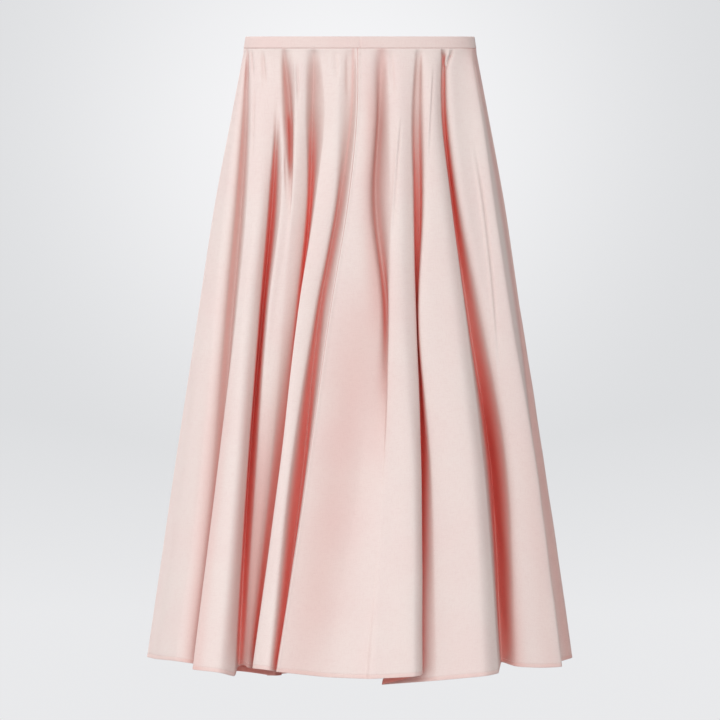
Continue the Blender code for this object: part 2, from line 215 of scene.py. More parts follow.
CREASES = (
    # line, beside (top, middle, end), reach, height, width (top, end)
    Crease("left_flute", (-26, -44, -62), (0.12, 1.70), 7.0, (16, 40)),
    Crease("valley_a", (2, 2, 2), (0.0, 0.060), -1.6, (1.6, 1.8)),
    Crease("flute_2_left", (3, 3, 2), (0.03, 0.21), 1.0, (1.6, 1.8)),
    Crease("flute_2_left", (7, 6, 5), (0.05, 0.20), -0.9, (1.3, 1.3)),
    Crease("flute_2", (-14, -13, -12), (0.0, 0.050), -2.4, (2.0, 3.0)),
    Crease("flute_2", (5, 6, 8), (0.0, 0.070), -3.0, (2.2, 3.4)),
    Crease("valley_c", (1, 1, 2), (0.10, 0.225), -5.0, (2.6, 2.6)),
    Crease("recess_left", (3, 5, 7), (0.17, 0.25), -1.2, (1.6, 1.6)),
    Crease("recess", (1, 1, 1), (0.02, 0.09), 1.3, (1.4, 1.4)),
    Crease("recess", (4, 4, 4), (0.015, 0.10), -1.6, (1.6, 1.6)),
    Crease("flute_3", (-6, -3, -2), (0.0, 0.06), -1.8, (2.4, 3.2)),
    Crease("flute_3", (12, 13, 15), (0.0, 0.09), -1.6, (2.2, 3.4)),
    Crease("flute_5_left", (1, 3, 5), (0.0, 0.09), -1.9, (2.8, 3.4)),
    Crease("flute_5_left", (14, 5, -1), (0.10, 0.34), 1.1, (1.6, 1.8)),
    Crease("flute_5_left", (17, 8, 2), (0.10, 0.32), -1.0, (1.3, 1.4)),
    Crease("flute_6_left", (11, 6, 2), (0.02, 0.21), 0.9, (1.5, 1.6)),
    Crease("flute_6_left", (14, 9, 5), (0.02, 0.20), -0.7, (1.4, 1.6)),
    Crease("valley_h", (-3, 0, 3), (0.0, 0.036), -2.8, (1.5, 1.5)),
    Crease("valley_h", (14, 9, 3), (0.0, 0.040), -2.8, (1.6, 1.6)),
    Crease("valley_h", (8, 5, 0), (0.0, 0.040), 1.6, (1.4, 1.4)),
    Crease("flute_7", (2, 0, -19), (0.14, 0.58), 1.2, (1.8, 2.0)),
    Crease("flute_7", (6, 4, -15), (0.14, 0.56), -1.5, (1.5, 1.6)),
    Crease("flute_7_right", (3, 4, 4), (0.01, 0.12), -2.2, (1.6, 1.8)),
    Crease("right_side", (11, 8, 6), (0.03, 0.18), 1.0, (1.4, 1.6)),
    Crease("back_2_crest", (-5, -6, -8), (0.0, 0.06), -1.6, (2.6, 3.4)),
    Crease("back_3_crest", (8, 5, 3), (0.02, 0.15), 1.1, (1.5, 1.6)),
    Crease("back_4_crest", (11, 6, 4), (0.10, 0.35), 1.0, (1.7, 1.8)),
    Crease("back_4_crest", (14, 9, 7), (0.10, 0.34), -1.1, (1.5, 1.7)),
    Crease("back_4_crest", (-12, -12, -14), (0.0, 0.05), -1.4, (2.4, 3.2)),
    Crease("back_5_crest", (-10, -7, -5), (0.03, 0.21), 1.1, (1.5, 1.7)),
    Crease("back_6_crest", (4, 2, -8), (0.12, 0.50), 1.2, (1.6, 1.8)),
    Crease("back_6_crest", (8, 6, -4), (0.12, 0.48), -1.3, (1.6, 1.8)),
    Crease("back_7_crest", (6, 9, 12), (0.0, 0.07), -1.7, (2.4, 3.2)),
    Crease("back_8_crest", (-6, -4, -3), (0.04, 0.20), 1.0, (1.5, 1.7)),
    Crease("left_side", (-10, -8, -6), (0.02, 0.16), 1.0, (1.4, 1.6)),
)
PAINTED_SHADING_WASHES = (
    # as above, but how much painted shade makes the cloth pinker, where it lies in its own shade,
    # and below 0 how much painted light makes it paler, where light comes in
    Crease("centre_seam", (44, 38, 28), (0.30, 1.20), 1.1, (34, 30)),
    Crease("valley_a", (-14, -17, -20), (0.40, 1.60), 0.9, (9, 14)),
    Crease("valley_a", (0, 0, 0), (-0.40, 2.00), 0.8, (1.8, 1.8)),
    Crease("flute_2_left", (3, 5, 7), (0.45, 1.60), 0.8, (7, 10)),
    Crease("recess_left", (6, 8, 8), (0.50, 1.50), 1.3, (9, 10)),
    Crease("flute_5_left", (-14, -12, -10), (0.30, 0.75), 0.5, (16, 12)),
    Crease("valley_c", (0, 0, 0), (-0.06, 0.30), 0.9, (2.6, 3)),
    Crease("valley_d", (0, 0, 0), (-0.06, 0.70), 1.3, (2.2, 2.4)),
    Crease("valley_d", (-3, -4, -3), (0.17, 0.52), -2.8, (8, 8)),
    Crease("valley_e", (0, 0, 0), (-0.40, 2.00), 1.4, (1.8, 1.8)),
    Crease("valley_f", (-15, -17, -14), (0.00, 0.52), 1.7, (9, 14)),
    Crease("valley_f", (0, -1, -2), (-0.10, 0.40), 1.1, (6, 8)),
    Crease("valley_h", (4, 12, 14), (0.50, 1.15), 3.2, (13, 16)),
    Crease("flute_7", (12, 14, 20), (0.55, 1.2), 0.5, (14, 16)),
    Crease("right_side", (-14, -12, -12), (-0.6, 2.6), 1.9, (14, 14)),
    Crease("back_3_crest", (10, 14, 20), (0.40, 1.10), 0.8, (18, 26)),
    Crease("back_5_crest", (-16, -18, -24), (0.25, 0.90), 0.7, (16, 24)),
    Crease("back_7_crest", (12, 18, 26), (0.45, 1.15), 0.9, (20, 30)),
)
RIPPLES = (Ripple(23, 0.8, 0.30), Ripple(41, -1.3, 0.20), Ripple(67, 2.1, 0.10))

# Cloth's look, with lengths in metres
PALE_PINK = (0.955, 0.825, 0.785, 1.0)
ROSY_PINK = (0.95, 0.79, 0.755, 1.0)
# painted shade in the folds: greyer, then deep pink where other folds shut the cloth in
MIDDLE_PAINTED_SHADE = (0.76, 0.65, 0.63, 1.0)
DEEP_PAINTED_SHADE = (0.93, 0.27, 0.22, 1.0)
SLUB_SHADE = (0.97, 0.95, 0.95, 1.0)
# pink of the painted shading washes on the panels, and of the band's doubled cloth
PAINTED_SHADING_AND_DOUBLE_TINT = (0.95, 0.84, 0.83, 1.0)
HEM_SHADE = (0.985, 0.90, 0.89, 1.0)
SHEEN_PINK = (1.0, 0.72, 0.68, 1.0)
THREAD_PINK = (0.93, 0.74, 0.70, 1.0)
FOLD_REACH = 0.09       # how far off another fold counts as shutting the cloth in, for the painted fold shade
FOLD_SHUT = 0.02        # openness at which the painted fold shade is deepest pink
FOLD_OPEN = 0.97        # and palest
FOLD_MIDDLE = 0.5       # between them the painted shade is greyer
OPEN_SAMPLES = 8
INSIDE_PAINTED_SHADE = 0.75      # how much deeper the painted fold shade is on the cloth's inside
HEM_PINK = 0.004        # the hem is pinkest below this height
WEAVE_PITCH = 0.00045
WEAVE_DEPTH = 0.00006
WEAVE_WANDER = 0.4      # how much its threads wander
SLUB_DEPTH = 0.00012
SLUB_LENGTH = 0.009
SLUB_WIDTH = 0.0011
SLUB_TINT = (0.5, 0.75)         # slub noise at which a thread starts to darken, and is darkest
SLUB_GLOSS = (0.4, 0.75)        # and at which it is as rough as plain cloth, and smoothest
ROUGHNESS = (0.86, 0.72)        # of plain cloth, and of a slub
PATCH_SIZE = 0.11       # patches where the colour drifts
PATCH_TINT = (0.35, 0.65)
SHEEN = 0.06
SHEEN_ROUGHNESS = 0.5
SPECULAR = 0.2
WAVES_A_METRE = 20 / (2 * math.pi)      # what a wave texture has at scale 1
TWIST_SCALE = 900.0
TWIST_DEPTH = 0.00004
TWIST_STRENGTH = 0.6
TWIST_ROUGHNESS = (0.6, 0.45)   # down in the thread's twist, and on it

# Studio
PICTURE_HEIGHT = 0.9634         # what the picture covers at the skirt, in metres
CAMERA_DISTANCE = 12.0
CAMERA_LEVEL = -0.4328
SENSOR = 36.0
CLIP_END = 100.0
BOUNCES = 12
DIFFUSE_BOUNCES = 8
WHITE = (1.0, 1.0, 1.0, 1.0)
SEEN_GREY = (0.722, 0.730, 0.745, 1.0)
GLOW_GREY = (0.925, 0.925, 0.94, 1.0)
GLOW_TOWARDS = (-0.002, 1.0, 0.026)
GLOW_REACH = 0.049
LOW_GLOW = 0.45                 # part of the glow that comes back low down
LOW_FROM = -0.006               # from this z of its direction
LOW_TO = -0.028                 # to this one
FLOOR_GREY = (0.80, 0.80, 0.81, 1.0)
FLOOR_LEVEL = -1.05             # metres, below what the camera sees
FLOOR_RADIUS = 3.0
FLOOR_FADE = (0.45, 0.98)       # shares of its radius where it starts to clear, and is clear
FLOOR_SIDES = 96
AMBIENT = 0.31
FLAG_FROM = 0.60                # light from the right falls off from this x of its direction
FLAG_LIGHT = 0.12               # to this strength
SUN_SPREAD = 75.0               # degrees that each light spans
SUNS = (
    # name, azimuth (0 is the front, 90 the right), elevation, strength
    Sun("key", -5, 28, 0.39),
    Sun("low", 6, -35, 0.15),
    Sun("left", -70, 5, 0.25),
    Sun("right", 30, 34, 0.11),
    Sun("back_right", 176, 20, 0.38),
    Sun("back_left", 212, 30, 0.40),
)


# ---------------------------------------------------------------- lines down the skirt

def down(values, shares, bloom=1.0):
    """Smooth curve through one value a station, read at shares of the way down.

    At the waist its slope is that of the first stretch, times the bloom.
    """
    stations = np.array(STATIONS)
    values = np.array(values, float)
    slopes = np.gradient(values, stations)
    slopes[0] *= bloom
    k = np.clip(np.searchsorted(stations, shares, side="right") - 1, 0, len(stations) - 2)
    span = stations[k + 1] - stations[k]
    u = (shares - stations[k]) / span
    return ((1 + 2 * u) * (1 - u) ** 2 * values[k] + u * (1 - u) ** 2 * span * slopes[k]
            + u ** 2 * (3 - 2 * u) * values[k + 1] + u ** 2 * (u - 1) * span * slopes[k + 1])


def bowed(waist, hem, bow):
    """A back line's x at every station: straight but for a slight bow."""
    return tuple(waist + (hem - waist) * share + bow * math.sin(math.pi * share)
                 for share in STATIONS)


def opening(deep, start):
    """Depth of a back fold at the stations after the waist."""
    return tuple(deep * max(0.0, share - start) / (1 - start) for share in STATIONS[1:])


def back_lines(flute):
    """The lines of one back flute, in the order in which the ring meets them."""
    first, last = flute.drop
    parts = [("valley", flute.valley, opening(flute.deep, flute.start), first, VALLEY_TURN),
             ("near", flute.near, opening(flute.tuck, flute.start), first, EDGE_TURN),
             ("crest", flute.crest, opening(flute.back_off, 0), (first + last) / 2, CREST_TURN),
             ("far", flute.far, opening(flute.back_off + BACK_EDGE_DEPTH, 0), last, EDGE_TURN)]
    return [Fold(f"{flute.name}_{part}", bowed(*across, flute.bow), inward, drop, turn)
            for part, across, inward, drop, turn in parts if across]


def ring_lines():
    """Every line of the ring with its face, from the left side over the front, then the back."""
    right_side, right_valley, left_valley, left_side = SIDE_FOLDS
    back = [line for flute in BACK_FLUTES for line in back_lines(flute)]
    return [(left_side, "left")] + [(line, "front") for line in FRONT_FOLDS] \
        + [(right_side, "right"), (right_valley, "right")] \
        + [(line, "back") for line in back] + [(left_valley, "left")]


# ---------------------------------------------------------------- rings

def oval_reach(offset, half_length, half_depth):
    """Distance of the oval from one axis, at an offset along that axis."""
    inside = np.maximum(0.0, 1 - np.minimum(1.0, np.abs(offset) / half_length) ** OVAL_POWER)
    return half_depth * inside ** (1 / OVAL_POWER)


def line_points(line, face, shares, top):
    """Where a line crosses each ring."""
    offset = down(line.across, shares)
    inward = down((0,) + tuple(line.inward), shares, FOLD_BLOOM)
    half_width = down(HALF_WIDTH, shares)
    half_depth = down(FRONT_DEPTH if face == "front" else BACK_DEPTH, shares)
    z = top + (-line.drop - top) * shares
    if face in ("left", "right"):
        reach = oval_reach(offset, half_depth, half_width) - inward
        return np.stack([reach if face == "right" else -reach, offset, z], 1)
    reach = oval_reach(offset, half_width, half_depth) - inward
    return np.stack([offset, reach if face == "back" else -reach, z], 1)


def turn_ends(points, turns):
    """Two corners for each line, half a turn before and after it, square to the fold's bisector."""
    arriving = points - np.roll(points, 1, 0)
    leaving = np.roll(arriving, -1, 0)
    before = np.linalg.norm(arriving[:, :2], axis=1)
    after = np.linalg.norm(leaving[:, :2], axis=1)
    along = arriving / before[:, None] + leaving / after[:, None]
    along /= np.linalg.norm(along[:, :2], axis=1)[:, None]
    room = np.minimum(before, after)
    width = turns * room / (turns + room)
    return np.stack([points - along * width[:, None] / 2, points + along * width[:, None] / 2], 1)


def rounded_ring(points, turns):
    """Closed smooth curve through the lines' points, with as many columns for each line.

    Each fold has two corners, and the curve is a parabola from midpoint to midpoint of the
    sides of that polygon, so it passes through each line's own point.
    """
    corners = turn_ends(points, turns).reshape(-1, 3)
    before = (corners + np.roll(corners, 1, 0)) / 2
    after = (corners + np.roll(corners, -1, 0)) / 2
    per_corner = FOLD_COLUMNS // 2
    steps = [k / per_corner for k in range(per_corner)]
    arcs = [(1 - u) ** 2 * before + 2 * u * (1 - u) * corners + u ** 2 * after for u in steps]
    ring = np.stack(arcs, 1).reshape(-1, 3)
    return np.roll(ring, -per_corner, 0)


def outward(rings):
    """Level unit vectors that point out of rings that run left to right over the front."""
    along = np.roll(rings, -1, 1) - np.roll(rings, 1, 1)
    normal = np.stack([along[..., 1], -along[..., 0], np.zeros(along.shape[:2])], 2)
    return normal / np.linalg.norm(normal, axis=2)[..., None]


def skirt_rings(shares):
    """Mid-surface rings and their outward vectors, from the waist seam to the hem."""
    lines = ring_lines()
    turns = np.array([line.turn for line, _ in lines], float)
    top = -(BAND_HEIGHT + SEAM_GAP)
    points = np.stack([line_points(line, face, shares, top) for line, face in lines], 1)
    rings = np.stack([rounded_ring(row, turns) for row in points])
    level = np.abs(rings[..., 1])
    sag = level / level.max(axis=1, keepdims=True)
    rings[..., 2] -= BAND_DIP * (1 - shares[:, None]) * sag
    return rings, outward(rings)


def row_shares():
    """Shares of the way down, closer under the band and about the hem's stitches and turning."""
    even = np.linspace(0, 1, PANEL_ROWS + 1) ** ROW_BUNCHING
    above_hem = np.concatenate([EDGE_ROWS, HEM_STITCH + np.array(STITCH_ROWS),
                                HEM_DEPTH + np.array(TURNING_ROWS)]) / CUT_LENGTH
    clear = even[even < 1 - (HEM_DEPTH + HEM_CLEAR) / CUT_LENGTH]
    return np.concatenate([clear, np.sort(1 - above_hem), [1.0]])


def column_of(name):
    """The column that runs down a named line."""
    names = [line.name for line, _ in ring_lines()]
    return names.index(name) * FOLD_COLUMNS


def along_ring(rings):
    """Distance of each column along its ring, from the left side seam."""
    steps = np.linalg.norm(np.diff(rings[..., :2], axis=1), axis=2)
    return np.concatenate([np.zeros((len(rings), 1)), np.cumsum(steps, 1)], 1)


# ---------------------------------------------------------------- creases

def bend(values, t):
    """Curve through three values, at 0, a half and 1."""
    first, middle, last = values
    return first * (1 - t) * (1 - 2 * t) + 4 * middle * t * (1 - t) + last * t * (2 * t - 1)


def fade(x, low, high):
    """0 below low and 1 above high, smooth between."""
    t = np.clip((x - low) / (high - low), 0, 1)
    return t * t * (3 - 2 * t)


def press_crease(lift, distance, shares, crease):
    """Adds one crease to the lift of every point."""
    start, end = crease.reach
    t = np.clip((shares - start) / (end - start), 0, 1)
    strength = crease.height * fade(t, 0, CREASE_UP) * (1 - fade(t, CREASE_DOWN, 1))
    centre = distance[:, column_of(crease.line)] + bend(crease.beside, t)
    width = crease.width[0] + (crease.width[1] - crease.width[0]) * t
    gap = (distance - centre[:, None]) / width[:, None]
    lift += strength[:, None] * np.exp(-math.log(2) * gap ** 2)


def beside_seam(distance):
    """The centre seam's allowances, pressed to one side under the cloth."""
    seam = distance[:, column_of("centre_seam")]
    gap = (distance - seam[:, None] - LAP_FROM_SEAM) / LAP_WIDTH
    return LAP_HEIGHT * np.exp(-math.log(2) * gap ** 2)


def cloth_lift(distance, shares):
    """How far creases, ripples and the centre seam lift each point out of the rings."""
    lift = beside_seam(distance)
    lift += WAIST_PUFF * (1 - fade(shares * CUT_LENGTH, 0, PUFF_REACH))[:, None]
    for crease in CREASES:
        press_crease(lift, distance, shares, crease)
    around = distance / distance[:, -1:]
    for ripple in RIPPLES:
        waves = ripple.count * around + ripple.slant * shares[:, None]
        lift += ripple.height * shares[:, None] * np.sin(2 * math.pi * waves)
    return lift


def painted_shading_wash(distance, shares):
    """How much painted shade each point gets from the washes, and below 0 how much painted light."""
    painted_shading_and_doubling = np.zeros(distance.shape)
    for patch in PAINTED_SHADING_WASHES:
        press_crease(painted_shading_and_doubling, distance, shares, patch)
    return painted_shading_and_doubling


def spread_columns(rings, first, last, count):
    """The columns a panel keeps, spread by length and turning, and close beside its seams."""
    columns = np.arange(first, last + 1)
    worth = np.zeros(len(columns) - 1)
    for level in SPREAD_LEVELS:
        ring = rings[round(level * (len(rings) - 1)), columns % rings.shape[1], :2]
        steps = np.diff(ring, axis=0)
        length = np.linalg.norm(steps, axis=1)
        turning = np.abs(np.gradient(np.unwrap(np.arctan2(steps[:, 1], steps[:, 0]))))
        worth += length / length.sum() + TURN_WORTH * turning / turning.sum()
    place = np.concatenate([[0], np.cumsum(worth)])
    spread = np.searchsorted(place, np.linspace(0, place[-1], count) * (1 - 1e-9))
    by_seam = 2 * np.arange(SEAM_COLUMNS)
    kept = np.unique(np.concatenate([spread, by_seam, len(columns) - 1 - by_seam]))
    return columns[kept] % rings.shape[1]


# ---------------------------------------------------------------- meshes

def grid_faces(rows, columns, wrap_rows=False):
    """Quads of a grid of points stored row by row, whose last row may join the first."""
    row = np.arange(rows if wrap_rows else rows - 1)[:, None]
    column = np.arange(columns - 1)[None, :]
    below = (row + 1) % rows
    corners = (row * columns + column, below * columns + column,
               below * columns + column + 1, row * columns + column + 1)
    return np.stack(corners, 2).reshape(-1, 4)


def new_mesh(name, points, faces, material, uv=None, tints=None):
    """Smooth mesh object from points in millimetres."""
    data = bpy.data.meshes.new(name)
    data.vertices.add(len(points))
    data.vertices.foreach_set("co", (points * MM).astype(np.float32).ravel())
    sizes = np.array([len(face) for face in faces])
    loops = np.concatenate([np.asarray(face) for face in faces]).astype(np.int32)
    data.loops.add(len(loops))
    data.loops.foreach_set("vertex_index", loops)
    data.polygons.add(len(faces))
    data.polygons.foreach_set("loop_start", (np.cumsum(sizes) - sizes).astype(np.int32))
    data.polygons.foreach_set("use_smooth", np.ones(len(faces), bool))
    if uv is not None:
        layer = data.uv_layers.new(name="flat_cloth")
        layer.uv.foreach_set("vector", (uv[loops] * MM).astype(np.float32).ravel())
    for tint, values in (tints or {}).items():
        layer = data.attributes.new(tint, "FLOAT", "POINT")
        layer.data.foreach_set("value", values.astype(np.float32).ravel())
    data.update(calc_edges=True)
    data.validate()
    data.materials.append(material)
    piece = bpy.data.objects.new(name, data)
    bpy.context.scene.collection.objects.link(piece)
    return piece


def flat_cut(rings_distance, shares, angle):
    """Places of a panel's points on the flat cloth, a piece of a ring about its own middle."""
    across = rings_distance / rings_distance[:, -1:] - 0.5
    radius = CUT_RADIUS + CUT_LENGTH * shares[:, None]
    turn = across * angle
    return np.stack([radius * np.sin(turn), -radius * np.cos(turn)], 2)


def seam_edges(middle, normals, distance):
    """Moves a panel's end columns in by half the seam gap and turns its edges into the seam."""
    for edge, inside in ((0, 1), (-1, -2)):
        along = middle[:, inside] - middle[:, edge]
        along /= np.linalg.norm(along, axis=1)[:, None]
        middle[:, edge] += along * SEAM_GAP / 2
    from_edge = np.minimum(distance, distance[:, -1:] - distance)
    dip = SEAM_DIP * np.exp(-(from_edge / SEAM_ROLL) ** 2)
    middle -= normals * dip[..., None]


def wall_thickness(shares):
    """Thickness of the cloth at each row, more in the hem's turning."""
    above_hem = (1 - shares) * CUT_LENGTH
    return CLOTH + HEM_TURNING * (above_hem < HEM_DEPTH)


def hem_dip(shares):
    """How far the outside draws in at each row, at the hem's stitches and its edge."""
    above_hem = (1 - shares) * CUT_LENGTH
    return STITCH_DENT * np.exp(-(above_hem - HEM_STITCH) ** 2) \
        + HEM_ROUND * np.exp(-(above_hem / HEM_EDGE) ** 2)


def wall_faces(rows, size):
    """Faces of a closed wall, stored as its outer rows, then its inner rows in reverse."""
    faces = list(grid_faces(2 * rows, size, wrap_rows=True))
    for edge, step in ((0, -1), (size - 1, 1)):
        for row in range(rows - 1):
            loop = [row * size + edge, (row + 1) * size + edge,
                    (2 * rows - 2 - row) * size + edge, (2 * rows - 1 - row) * size + edge]
            faces.append(loop[::step])
    return faces


def panel(name, skirt, first, last, count, angle, material):
    """One cut piece of cloth as a closed thin wall, between two seams, and its outside."""
    columns = spread_columns(skirt["rings"], first, last, count)
    middle = skirt["rings"][:, columns] + 0
    normals = skirt["normals"][:, columns]
    middle += normals * skirt["lift"][:, columns, None]
    distance = along_ring(middle)
    seam_edges(middle, normals, distance)
    shares = skirt["shares"]
    dip = hem_dip(shares)[:, None, None]
    outer = middle + normals * (CLOTH / 2 - dip)
    inner = middle + normals * (CLOTH / 2 + np.minimum(dip, HEM_ROUND)
                                - wall_thickness(shares)[:, None, None])
    flat = flat_cut(distance, shares, angle)
    points = np.concatenate([outer, inner[::-1]]).reshape(-1, 3)
    uv = np.concatenate([flat, flat[::-1]]).reshape(-1, 2)
    painted_shading_and_doubling = skirt["painted_shading_and_doubling"][:, columns]
    # washes of painted shading, and the inner wall marked for deeper painted shade
    tints = {"painted_shading_and_doubling": np.concatenate([painted_shading_and_doubling, painted_shading_and_doubling[::-1]]),
             "inside": np.repeat([0.0, 1.0], painted_shading_and_doubling.size)}
    stitched = int(np.argmin(np.abs((1 - shares) * CUT_LENGTH - HEM_STITCH)))
    piece = new_mesh(name, points, wall_faces(*outer.shape[:2]), material, uv, tints)
    return piece, outer[stitched], normals[stitched]


def stitch_faces(count):
    """Faces of so many bars of thread, each a few rings of points closed at both ends."""
    rings, sides = len(STITCH_RINGS), STITCH_SIDES
    faces = []
    for start in range(0, count * rings * sides, rings * sides):
        for low in range(start, start + (rings - 1) * sides, sides):
            for side in range(sides):
                after = (side + 1) % sides
                faces.append([low + side, low + after, low + sides + after, low + sides + side])
        faces.append([start + side for side in reversed(range(sides))])
        faces.append([start + (rings - 1) * sides + side for side in range(sides)])
    return faces


def stitch_row(name, path, out, material):
    """A row of machine stitches along a line on the cloth, as small rounded bars of thread."""
    place = np.concatenate([[0], np.cumsum(np.linalg.norm(np.diff(path, axis=0), axis=1))])
    count = int(place[-1] / STITCH_PITCH)
    centres = (np.arange(count) + 0.5) * place[-1] / count

    def read(values, at):
        return np.stack([np.interp(at, place, values[:, axis]) for axis in range(3)], 1)

    ahead = read(path, centres + 0.5) - read(path, centres - 0.5)
    ahead /= np.linalg.norm(ahead, axis=1)[:, None]
    outward_here = read(out, centres)
    outward_here /= np.linalg.norm(outward_here, axis=1)[:, None]
    across = np.cross(ahead, outward_here)
    middle = read(path, centres) + outward_here * THREAD * STITCH_RISE
    bars = []
    for along, girth in STITCH_RINGS:
        for turn in np.arange(STITCH_SIDES) * 2 * math.pi / STITCH_SIDES:
            bars.append(middle + ahead * along * STITCH_LENGTH
                        + (across * math.cos(turn) + outward_here * math.sin(turn))
                        * THREAD * girth)
    piece = new_mesh(name, np.stack(bars, 1).reshape(-1, 3), stitch_faces(count), material)
    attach(piece, "root")
    return piece


def build_panels(material, thread):
    """The three panels with their hem stitches, each with its place on the flat cloth that it is cut from
    as its UV map.
    """
    shares = row_shares()
    rings, normals = skirt_rings(shares)
    distance = along_ring(rings)
    # lift from creases, and the washes of painted shade and painted light
    skirt = {"rings": rings, "normals": normals, "shares": shares,
             "lift": cloth_lift(distance, shares), "painted_shading_and_doubling": painted_shading_wash(distance, shares)}
    left, centre, right = map(column_of, ("left_side", "centre_seam", "right_side"))
    end = left + rings.shape[1]
    last_step = np.linalg.norm(rings[-1, 0] - rings[-1, -1])
    hem = np.append(distance[-1], distance[-1, -1] + last_step)
    far = CUT_RADIUS + CUT_LENGTH
    for name, first, last, count in (("front_left", left, centre, FRONT_COLUMNS),
                                     ("front_right", centre, right, FRONT_COLUMNS),
                                     ("back", right, end, BACK_COLUMNS)):
        angle = (hem[last] - hem[first]) / far
        piece, hem_line, out = panel(name + "_cloth", skirt, first, last, count, angle, material)
        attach(piece, "root")
        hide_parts(name)
        stitches = stitch_row(name + "_hem_stitches", hem_line, out, thread)


# ---------------------------------------------------------------- waistband

def band_ring(level, out):
    """Oval of the band, at a share of its height from the top, moved out by a distance."""
    half_width = BAND_TOP_HALF_WIDTH + (HALF_WIDTH[0] - BAND_TOP_HALF_WIDTH) * level
    half_depth = BAND_TOP_HALF_DEPTH + (FRONT_DEPTH[0] - BAND_TOP_HALF_DEPTH) * level
    beside_join = np.array((BAND_SLIT / 2,) + JOIN_COLUMNS)
    close = (beside_join / half_width) ** (OVAL_POWER / 2)
    round_band = 2 * math.pi * np.arange(1, BAND_COLUMNS) / BAND_COLUMNS
    angles = np.concatenate([close, round_band, 2 * math.pi - close[::-1]])
    side, front = np.sin(angles), np.cos(angles)
    x = half_width * np.copysign(np.abs(side) ** (2 / OVAL_POWER), side)
    y = -half_depth * np.copysign(np.abs(front) ** (2 / OVAL_POWER), front)
    ring = np.stack([x, y, -BAND_HEIGHT * level - BAND_DIP * np.abs(y) / half_depth], 1)
    along = np.gradient(ring, axis=0)
    normal = np.stack([along[:, 1], -along[:, 0], np.zeros(len(ring))], 1)
    normal *= (1 - JOIN_DIP * (y < 0) * np.exp(-(x / JOIN_ROLL) ** 2))[:, None]
    return ring + out * normal / np.linalg.norm(along[:, :2], axis=1)[:, None]


def build_waistband(material, thread):
    """Doubled strip, folded over at the top and turned in at the bottom, ends at the front."""
    half = BAND_CLOTH / 2
    quarter = np.linspace(0, math.pi / 2, BAND_TOP_ROWS)
    top = [(half * math.sin(a), half * (1 - math.cos(a)) / BAND_HEIGHT) for a in quarter]
    profile = top + [(half, share) for share in np.linspace(*BAND_ROWS)]
    profile += [(half - inset, 1 - above / BAND_HEIGHT) for inset, above in BAND_FOOT]
    outside = [band_ring(level, out) for out, level in profile]
    inside = [band_ring(level, -out) for out, level in reversed(profile)]
    loops = np.stack(outside + inside)
    points = loops.reshape(-1, 3)
    rows, size = loops.shape[:2]
    faces = list(grid_faces(rows, size, wrap_rows=True))
    faces.append([row * size for row in range(rows)])
    faces.append([row * size + size - 1 for row in reversed(range(rows))])
    along = np.concatenate([[0], np.cumsum(np.linalg.norm(np.diff(loops[0], axis=0), axis=1))])
    height = np.arange(rows) * BAND_HEIGHT / BAND_WEAVE_ROWS
    uv = np.stack([np.tile(along, (rows, 1)), np.tile(height[:, None], (1, size))], 2)
    piece = new_mesh("waistband_cloth", points, faces, material, uv.reshape(-1, 2),
                     {"painted_shading_and_doubling": np.full(len(points), BAND_WASH)})
    piece.data.set_sharp_from_angle(angle=BAND_SHARP)
    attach(piece, "root")
    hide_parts("waistband")
    inside_line = band_ring(BAND_STITCH, -half)
    facing = band_ring(BAND_STITCH, -half - 1) - inside_line
    stitch_row("waistband_stitches", inside_line, facing, thread)


# ---------------------------------------------------------------- materials

def add_node(tree, kind, inputs=None, **settings):
    """New node with some of its inputs set to values or linked to other nodes' outputs."""
    node = tree.nodes.new("ShaderNode" + kind)
    for name, value in settings.items():
        setattr(node, name, value)
    for key, value in (inputs or {}).items():
        if isinstance(value, bpy.types.NodeSocket):
            tree.links.new(value, node.inputs[key])
        else:
            node.inputs[key].default_value = value
    return node


def mixed(tree, factor, first, second, blend="MIX", **settings):
    """Mix of two colours, which are inputs 6 and 7 of a mix node that mixes colours."""
    return add_node(tree, "Mix", {0: factor, 6: first, 7: second},
                    data_type="RGBA", blend_type=blend, **settings).outputs[2]


def ranged(tree, value, low, high, to_low=0.0, to_high=1.0):
    """A value taken from one range to another."""
    return add_node(tree, "MapRange", {"Value": value, "From Min": low, "From Max": high,
                                       "To Min": to_low, "To Max": to_high}).outputs[0]


def slubs(tree, place, along, across):
    """Thicker threads that come and go: noise drawn out along the thread."""
    stretched = add_node(tree, "VectorMath", {0: place, 1: (1 / along, 1 / across, 1.0)},
                         operation="MULTIPLY").outputs[0]
    return add_node(tree, "TexNoise", {"Vector": stretched, "Scale": 1.0, "Detail": 2.0},
                    noise_dimensions="2D").outputs[0]


def threads(tree, place, direction):
    """The ridges of one set of threads of the weave."""
    return add_node(tree, "TexWave", {"Vector": place, "Distortion": WEAVE_WANDER, "Detail": 0.0,
                                      "Scale": 1 / WAVES_A_METRE / WEAVE_PITCH},
                    bands_direction=direction).outputs[1]


